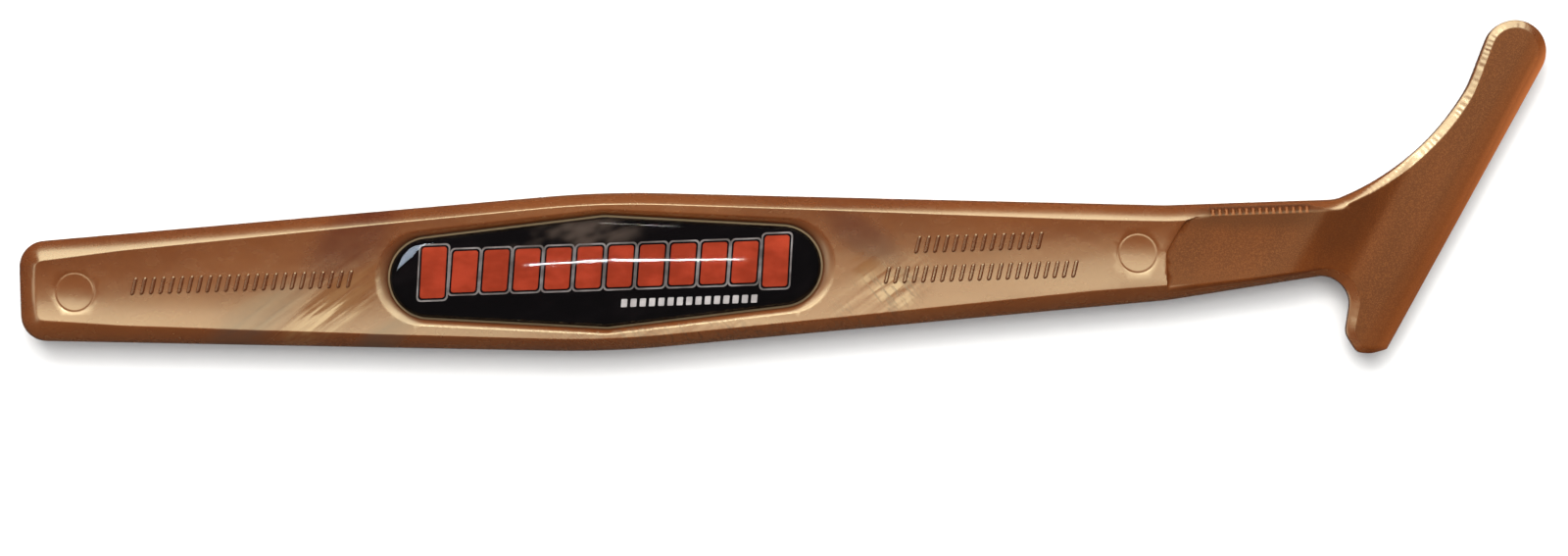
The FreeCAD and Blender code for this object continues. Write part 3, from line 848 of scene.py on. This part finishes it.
class Finish:
    """A material under construction, with short calls for its nodes."""

    def __init__(self, name):
        self.material = bpy.data.materials.new(name)
        self.material.use_nodes = True
        self.tree = self.material.node_tree
        self.tree.nodes.clear()
        self.end = self.tree.nodes.new("ShaderNodeOutputMaterial")

    def add(self, kind, settings=None, **inputs):
        node = self.tree.nodes.new("ShaderNode" + kind)
        for name, value in (settings or {}).items():
            setattr(node, name, value)
        for name, value in inputs.items():
            socket = node.inputs[int(name[1:])] if name[0] == "i" and name[1:].isdigit() \
                else node.inputs[name.replace("_", " ")]
            if isinstance(value, bpy.types.NodeSocket):
                self.tree.links.new(value, socket)
            else:
                socket.default_value = value
        return node

    def rest_place(self):
        """Where a point of the moulding is at rest, in millimetres."""
        return self.add("Attribute", {"attribute_name": "rest_place"}).outputs["Vector"]

    def own_place(self):
        """Where a point of a rigid piece is, in millimetres."""
        place = self.add("TexCoord").outputs["Object"]
        return self.mapped(place, 0, (1 / MM, 1 / MM, 1 / MM))

    def held(self, name):
        return self.add("Attribute", {"attribute_name": name}).outputs["Fac"]

    def math(self, operation, a, b=0.0, clamp=False):
        return self.add("Math", {"operation": operation, "use_clamp": clamp}, i0=a, i1=b).outputs[0]

    def ramp(self, value, low, high, out_low=0.0, out_high=1.0):
        return self.add("MapRange", {"interpolation_type": "SMOOTHSTEP"}, i0=value, i1=low, i2=high,
                        i3=out_low, i4=out_high).outputs[0]

    def noise(self, vector, scale, detail=2.0, rough=0.5):
        return self.add("TexNoise", {}, Vector=vector, Scale=scale, Detail=detail,
                        Roughness=rough).outputs["Fac"]

    def mapped(self, vector, turn=0.0, scale=(1, 1, 1)):
        """Turned clockwise by turn, so that a pattern lies along that angle, then scaled."""
        if turn:
            vector = self.add("Mapping", {"vector_type": "POINT"}, Vector=vector,
                              Rotation=(0, 0, math.radians(-turn))).outputs[0]
        return self.add("Mapping", {"vector_type": "POINT"}, Vector=vector,
                        Scale=scale).outputs[0]

    def blend(self, share, a, b):
        node = self.add("Mix", {"data_type": "RGBA", "blend_type": "MIX"}, i0=share, i6=a, i7=b)
        return node.outputs[2]

    def tinted(self, base, share, amount, code):
        """The base, with a colour laid over it by share times amount."""
        return self.blend(self.math("MULTIPLY", share, amount), base, rgb(code))

    def patch(self, place, x, y, turn, long, wide):
        """1 inside a soft ellipse round (x, y) turned by turn, falling to 0 at its rim."""
        at = self.add("VectorMath", {"operation": "SUBTRACT"}, i0=place, i1=(x, y, 0)).outputs[0]
        at = self.mapped(at, turn, (1 / long, 1 / wide, 0))
        far = self.add("VectorMath", {"operation": "LENGTH"}, i0=at).outputs["Value"]
        return self.ramp(far, 0.35, 1.0, 1.0, 0.0)

    def finish(self, shader):
        self.tree.links.new(shader.outputs[0], self.end.inputs["Surface"])
        return self.material


def rgb(code):
    """A colour as light, from its screen value."""
    parts = [int(code[k:k + 2], 16) / 255 for k in (0, 2, 4)]
    return (*[p / 12.92 if p <= 0.04045 else ((p + 0.055) / 1.055) ** 2.4 for p in parts], 1.0)


def pearl_base(f, place):
    """The plastic's colour: broad flow, brushed streaks near the badge's ends, flakes. Painted
    shade and painted sheen lie over it, on the flow patches, the dashes and the recess.

    Also gives how far the flakes lie flat (bright) or stand up (dull) at each place.
    """
    wide_flow = f.noise(f.mapped(place, 6, (0.035, 0.11, 0.1)), 1.0, 2.0)
    brushed = f.mapped(place, 34, (0.08, 0.85, 0.5))
    streaks = f.noise(brushed, 1.0, 4.0, 0.6)
    veins = f.noise(f.mapped(place, -52, (0.10, 0.7, 0.5)), 1.0, 4.0, 0.6)
    flakes = f.noise(f.mapped(place, 0, (1.6, 2.0, 1.8)), 1.0, 1.0, 0.5)

    # Flow patches, partly painted light: painted shade on the upper face, painted sheen on the
    # lower.
    dark = f.math("MAXIMUM", f.patch(place, -31.0, 5.2, 36, 9.0, 4.6),
                  f.patch(place, 32.0, 3.2, -35, 7.5, 3.0))
    bright = f.math("MAXIMUM", f.patch(place, -33.5, -3.2, 36, 10.0, 3.4),
                    f.patch(place, 34.5, -2.6, -40, 6.5, 2.8))
    dull = f.math("MAXIMUM", f.patch(place, -43.0, -4.2, 30, 9.0, 3.4),
                  f.patch(place, -27.5, -7.0, 30, 6.0, 2.2))
    bright = f.math("MULTIPLY", bright, f.ramp(streaks, 0.36, 0.6, 0.15, 1.0))
    dull = f.math("MULTIPLY", dull, f.ramp(streaks, 0.3, 0.6, 1.0, 0.6))
    vein_zone = f.math("MAXIMUM", f.patch(place, 12.0, -8.0, -4, 26.0, 2.4),
                       f.patch(place, 34.0, -4.2, 30, 9.0, 4.5))
    vein = f.math("SUBTRACT", f.ramp(veins, 0.49, 0.52), f.ramp(veins, 0.52, 0.56))
    vein = f.math("MULTIPLY", vein_zone, vein)

    base = f.blend(f.ramp(wide_flow, 0.35, 0.68), rgb("642d0b"), rgb("703712"))
    # Painted shade in the dark patches and painted sheen in the bright ones, over the flow's tones.
    base = f.tinted(base, dark, 0.95, "521700")
    base = f.tinted(base, bright, 0.55, "93704a")
    base = f.tinted(base, dull, 0.75, "4c2c22")
    base = f.tinted(base, vein, 0.7, "451604")
    base = f.blend(f.ramp(flakes, 0.35, 0.75, 0.0, 0.04), base, rgb("a06028"))
    # Painted shade: the raised dashes are darkened.
    base = f.tinted(base, f.held("raised"), 0.75, "4e1904")
    # Painted shade on the recess floor and lower wall and in the gaps between the teeth.
    groove = f.held("groove")
    base = f.tinted(base, groove, 0.8, "3a1808")
    lying = f.math("SUBTRACT", bright, f.math("MAXIMUM", f.math("MAXIMUM", dull, vein), groove))
    zone = f.math("MAXIMUM", f.patch(place, -36, -3, 34, 15, 6), vein_zone)
    waves = f.math("MULTIPLY", f.math("MULTIPLY", f.noise(brushed, 1.0, 1.5), zone), 0.07)
    waves = f.math("ADD", waves, f.math("MULTIPLY", wide_flow, 0.10))
    waves = f.math("ADD", waves, f.math("MULTIPLY", flakes, 0.00012))
    return base, lying, waves


def grained_base(f, place):
    """The neck's and blade's colour, with painted light over it: a painted glow along the working
    edge, painted highlights on the teeth, and painted shade near the top of the neck and between
    the teeth.
    """
    flow = f.noise(f.mapped(place, 58, (0.05, 0.2, 0.1)), 1.0, 3.0)
    grain = f.noise(f.mapped(place, 0, (3.0, 3.4, 3.2)), 1.0, 3.0, 0.65)
    flakes = f.noise(f.mapped(place, 0, (7.0, 7.0, 7.0)), 1.0, 1.0, 0.5)
    base = f.blend(f.ramp(flow, 0.35, 0.68), rgb("522307"), rgb("5c290a"))
    base = f.blend(f.ramp(flakes, 0.4, 0.75, 0.0, 0.3), base, rgb("935424"))
    base = f.blend(f.ramp(grain, 0.45, 0.75, 0.0, 0.4), base, rgb("481c05"))
    shade = f.math("MAXIMUM", f.patch(place, 80.0, 4.4, -3, 16.0, 2.6),
                   f.patch(place, 92.0, 3.5, 59, 9.0, 4.5))
    base = f.tinted(base, shade, 0.5, "401a05")
    # Painted light glowing through the thinned working edge, and painted highlights on the teeth.
    base = f.tinted(base, f.held("thin"), 0.9, "b86a3a")
    # Painted shade in the recess and between the teeth.
    base = f.tinted(base, f.held("groove"), 0.8, "2e1004")
    return base, grain, f.math("ADD", grain, f.math("MULTIPLY", flakes, 0.3))


def pearl():
    """One plastic: polished on the handle, finely grained on the neck and the blade."""
    f = Finish("pearl_gold_plastic")
    place = f.rest_place()
    grained = f.held("grained")
    polished = f.math("SUBTRACT", 1.0, grained)
    gloss_base, lying, waves = pearl_base(f, place)
    dull_base, grain, grain_height = grained_base(f, place)
    mottle = f.noise(f.mapped(place, 0, (0.4, 0.7, 0.5)), 1.0, 2.0, 0.5)
    gloss_rough = f.math("ADD", f.ramp(mottle, 0.3, 0.7, 0.21, 0.24),
                         f.ramp(lying, -1.0, 1.0, 0.22, -0.14))
    rough = f.math("ADD", f.math("MULTIPLY", gloss_rough, polished),
                   f.math("MULTIPLY", f.ramp(grain, 0.3, 0.7, 0.36, 0.46), grained))
    bump = f.add("Bump", {}, Strength=polished, Distance=MM, Height=waves).outputs[0]
    bump = f.add("Bump", {}, Strength=f.math("MULTIPLY", grained, 0.3), Distance=0.00003,
                 Height=grain_height, Normal=bump).outputs[0]
    tint = f.blend(grained, (1.0, 0.9, 0.55, 1.0), (0.26, 0.208, 0.117, 1.0))
    shader = f.add("BsdfPrincipled", {}, Base_Color=f.blend(grained, gloss_base, dull_base),
                   Roughness=rough, Normal=bump, Specular_Tint=tint,
                   Coat_Weight=f.math("MULTIPLY", polished, 0.2))
    shader.inputs["IOR"].default_value = 2.3
    shader.inputs["Coat Roughness"].default_value = 0.11
    return f.finish(shader)


def film_black():
    f = Finish("badge_film_black")
    place = f.own_place()
    smoke = f.noise(f.mapped(place, 20, (0.2, 0.38, 0.3)), 1.0, 2.0, 0.5)
    weave = f.noise(f.mapped(place, 0, (2.4, 3.1, 2.0)), 1.0, 2.0, 0.5)
    haze = f.math("MULTIPLY", f.patch(place, -4.0, 4.6, 4, 12.0, 3.0), f.ramp(smoke, 0.35, 0.7))
    base = f.blend(f.ramp(smoke, 0.45, 0.8, 0.0, 0.35), rgb("0a0809"), rgb("1c1718"))
    base = f.tinted(base, haze, 0.55, "5d5047")
    rough = f.ramp(weave, 0.3, 0.7, 0.42, 0.55)
    shader = f.add("BsdfPrincipled", {}, Base_Color=base, Roughness=rough)
    shader.inputs["Specular IOR Level"].default_value = 0.0
    return f.finish(shader)


def ink(name, light, dark, rough):
    f = Finish(name)
    place = f.own_place()
    fade = f.noise(f.mapped(place, 0, (0.3, 0.5, 0.3)), 1.0, 2.0)
    dots = f.noise(f.mapped(place, 0, (7.0, 7.0, 7.0)), 1.0, 1.0)
    base = f.blend(f.ramp(fade, 0.3, 0.7), rgb(dark), rgb(light))
    base = f.blend(f.ramp(dots, 0.4, 0.7, 0.0, 0.25), base, rgb(dark))
    shader = f.add("BsdfPrincipled", {}, Base_Color=base,
                   Roughness=f.ramp(dots, 0.3, 0.7, rough, rough + 0.08))
    shader.inputs["Specular IOR Level"].default_value = 0.0
    return f.finish(shader)


def clear_resin():
    f = Finish("clear_dome_resin")
    gloss = f.add("BsdfPrincipled", {}, Base_Color=(1, 1, 1, 1), Metallic=1.0, Roughness=0.02)
    clear = f.add("BsdfTransparent", {}, Color=(0.97, 0.975, 0.98, 1.0))
    edge = f.add("Fresnel", {}, IOR=1.31)
    return f.finish(f.add("MixShader", {}, i0=edge.outputs[0], i1=clear.outputs[0],
                          i2=gloss.outputs[0]))


def adhesive():
    f = Finish("adhesive_sheet")
    place = f.own_place()
    cells = f.noise(f.mapped(place, 0, (1.6, 1.6, 6.0)), 1.0, 3.0)
    base = f.blend(f.ramp(cells, 0.35, 0.65), rgb("8f8a7c"), rgb("b5b0a2"))
    bump = f.add("Bump", {}, Strength=0.4, Distance=0.00005, Height=cells).outputs[0]
    shader = f.add("BsdfPrincipled", {}, Base_Color=base, Normal=bump,
                   Roughness=f.ramp(cells, 0.3, 0.7, 0.5, 0.65))
    return f.finish(shader)


def plated_metal():
    f = Finish("plated_magnet_disc")
    place = f.own_place()
    brushed = f.noise(f.mapped(place, 0, (0.4, 9.0, 2.0)), 1.0, 3.0)
    stain = f.noise(f.mapped(place, 0, (0.5, 0.5, 0.5)), 1.0, 3.0)
    base = f.blend(f.ramp(stain, 0.4, 0.7), rgb("c9c8c4"), rgb("a9a6a0"))
    bump = f.add("Bump", {}, Strength=0.2, Distance=0.00003, Height=brushed).outputs[0]
    shader = f.add("BsdfPrincipled", {}, Base_Color=base, Metallic=1.0, Normal=bump,
                   Roughness=f.ramp(brushed, 0.3, 0.7, 0.22, 0.38))
    return f.finish(shader)


def wear(thing, material):
    thing.data.materials.clear()
    thing.data.materials.append(material)


# ---- putting the pieces on their bodies ----

def store_finish_and_painted_light(thing):
    """Keeps at each vertex what the plastic's material reads: grained, the real finish, and raised,
    groove and thin, which place painted shade on the dashes, in the recess and between the teeth,
    and painted light along the working edge and on the teeth.
    """
    rest = np.array([v.co for v in thing.data.vertices]) / MM
    flat = rest[:, :2]
    front = rest[:, 2] > HALF
    upper = rest[:, 1] > 0
    ahead = ahead_of(flat)
    depth, place = border.measure(flat)
    # Where the material paints shade on the raised dashes.
    store(thing, "raised", on_dash(flat) * front)

    # Where the material paints shade: the recess floor and lower wall, and the gaps between teeth.
    in_recess = Border(badge_loop(*MOUTH)).measure(flat)[0] > 0.05
    sunk = (1 - smooth(rest[:, 2], RECESS_FLOOR + 0.1, RECESS_FLOOR + 0.95)) * in_recess
    on_tooth = rib_share(flat, depth) * front
    in_gap = in_ribs(flat) * (1 - on_tooth) * before_crest(depth)
    store(thing, "groove", np.maximum(sunk, 0.4 * in_gap) * front)

    # Where the material paints light glowing through the thinned working edge, more towards +Y.
    bevelled = np.clip((ahead - EDGE_AHEAD + EDGE_BEVEL) / EDGE_BEVEL, 0, 1)
    glow = 0.12 * smooth(bevelled, 0, 0.2) + 0.88 * smooth(bevelled, 0.4, 1.0)
    glow *= 0.35 + 0.65 * smooth(rest[:, 1], -5, 26)
    # The teeth take a share of it as a painted highlight.
    store(thing, "thin", np.maximum(glow, 0.35 * on_tooth))

    # The grain covers the neck's face and the inner part of its rim, and the working edge.
    across_rim = depth / border.read(rim_width, place)
    least = np.where(upper, 0.3, 0.55)
    least += (0.97 - least) * smooth(rest[:, 0], 86, 93)
    neck_start = np.where(upper, smooth(rest[:, 0], 71.5, 75.5), smooth(rest[:, 0], 68, 73))
    on_face = smooth(across_rim, 0.91, 1.0)
    rim_grain = smooth(across_rim, least - 0.06, least + 0.03) * neck_start
    grained = on_face * step_share(flat) + (1 - on_face) * rim_grain
    store(thing, "grained", np.maximum(grained, smooth(ahead, EDGE_AHEAD - 2.8, EDGE_AHEAD - 2.0)))


body = moulding()
store_rest(body)
store_finish_and_painted_light(body)
wear(body, pearl())
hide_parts("handle", "blade")
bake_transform(body)

clear_dome = dome()
wear(clear_dome, clear_resin())
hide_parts("badge_dome")
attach(clear_dome, "handle")

pale_line, red_blocks, small_dashes = badge_print()
wear(pale_line, ink("ink_grey", "918c8a", "5e5855", 0.4))
wear(red_blocks, ink("ink_red", "ab4029", "8f341f", 0.35))
wear(small_dashes, ink("ink_pale", "cfcac8", "aaa5a4", 0.4))
for piece in (pale_line, red_blocks, small_dashes):
    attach(piece, "handle")

for node, material in (("badge_film", film_black()), ("badge_adhesive", adhesive()),
                       ("magnet", plated_metal())):
    for slot in bpy.data.objects[node].material_slots:
        slot.material = material

# ---- floor, light and camera ----

low, high = (Vector(corner) for corner in cad_box)
middle = (low + high) / 2
FLOOR_HALF, FLOOR_GAP_BELOW = 2.5, 0.0002


def floor():
    f = Finish("pale_floor")
    place = f.add("TexCoord").outputs["Object"]
    paper = f.noise(f.mapped(place, 0, (60, 60, 60)), 1.0, 2.0)
    shader = f.add("BsdfPrincipled", {}, Roughness=0.9,
                   Base_Color=f.blend(paper, (0.93, 0.93, 0.93, 1), (0.955, 0.955, 0.955, 1)))
    material = f.finish(shader)
    corners = [(x * FLOOR_HALF, y * FLOOR_HALF, 0) for x, y in ((-1, -1), (1, -1), (1, 1), (-1, 1))]
    mesh = bpy.data.meshes.new("floor")
    mesh.from_pydata(corners, [], [(0, 1, 2, 3)])
    thing = bpy.data.objects.new("floor", mesh)
    bpy.context.collection.objects.link(thing)
    thing.location.z = low.z - FLOOR_GAP_BELOW
    wear(thing, material)
    thing.visible_glossy = False


def soft_light(name, off_zenith, bearing, far, size, radiance, colour=(1, 1, 1), roll=0.0,
               mirrored=True):
    """A panel facing the object. off_zenith and bearing (from +Y towards +X) are in degrees."""
    tilt, turn = math.radians(off_zenith), math.radians(bearing)
    away = Vector((math.sin(tilt) * math.sin(turn), math.sin(tilt) * math.cos(turn),
                   math.cos(tilt)))
    across = Vector((math.cos(turn + math.radians(roll)), -math.sin(turn + math.radians(roll)), 0))
    across = (across - away * across.dot(away)).normalized()
    light = bpy.data.lights.new(name, "AREA")
    light.shape = "RECTANGLE"
    light.size, light.size_y = size
    light.energy = radiance * math.pi * size[0] * size[1]
    light.color = colour
    thing = bpy.data.objects.new(name, light)
    bpy.context.collection.objects.link(thing)
    facing = Matrix((across, away.cross(across), away)).transposed()
    thing.matrix_world = Matrix.Translation(middle + away * far) @ facing.to_4x4()
    thing.visible_glossy = mirrored
    return thing


floor()
key = soft_light("key", 45, -2, 0.90, (1.1, 0.72), 4.2, (1.0, 0.985, 0.96))
near = soft_light("near", 14.5, 6, 1.0, (1.1, 0.36), 2.8, (1.0, 0.985, 0.95), roll=6)
soft_light("lamp", 33, -6, 0.75, (0.08, 0.05), 40.0, (1.0, 0.97, 0.92))
window = soft_light("window", 42, -48, 0.8, (0.50, 0.42), 20.0, (0.70, 0.82, 1.0), roll=-48)
strip = soft_light("strip", 3.04, -76, 1.1, (0.082, 0.0018), 160.0, roll=76)
side = soft_light("side", 50, -98, 0.8, (0.5, 0.3), 1.6)
soft_light("fill", 14, 0, 2.0, (4.0, 4.0), 0.72, mirrored=False)
soft_light("fill_low", 55, 180, 1.4, (2.4, 1.2), 0.3, mirrored=False)

# The badge's dome mirrors its own small lights, and the broad panels are flagged off it.
flagged = bpy.data.collections.new("flagged")
flagged.objects.link(clear_dome)
flagged.collection_objects[0].light_linking.link_state = "EXCLUDE"
for panel in (key, near, side):
    panel.light_linking.receiver_collection = flagged
dome_only = bpy.data.collections.new("dome_only")
dome_only.objects.link(clear_dome)
for glint in (window, strip):
    glint.light_linking.receiver_collection = dome_only

world = bpy.data.worlds.new("studio")
bpy.context.scene.world = world
world.use_nodes = True
sky = world.node_tree.nodes["Background"]
sky.inputs["Color"].default_value = (0.93, 0.96, 1.0, 1.0)
sky.inputs["Strength"].default_value = 0.09

# The camera looks straight down. VIEW_WIDTH is what it sees at VIEW_LEVEL, and it stands off the
# object's middle because the object isn't centred in the picture.
VIEW_WIDTH, VIEW_LEVEL = 0.1944, 0.0045
OFF_MIDDLE = (-0.00042, -0.00853)
TURN = math.radians(-1.951)
camera_data = bpy.data.cameras.new("camera")
camera_data.lens = 100
camera_data.sensor_width = 36
camera_data.clip_start = 0.01
camera = bpy.data.objects.new("camera", camera_data)
bpy.context.collection.objects.link(camera)
camera.location = (middle.x + OFF_MIDDLE[0], middle.y + OFF_MIDDLE[1],
                   VIEW_LEVEL + VIEW_WIDTH * camera_data.lens / camera_data.sensor_width)
camera.rotation_euler = (0, 0, TURN)
bpy.context.scene.camera = camera
bpy.context.scene.view_settings.view_transform = "Standard"
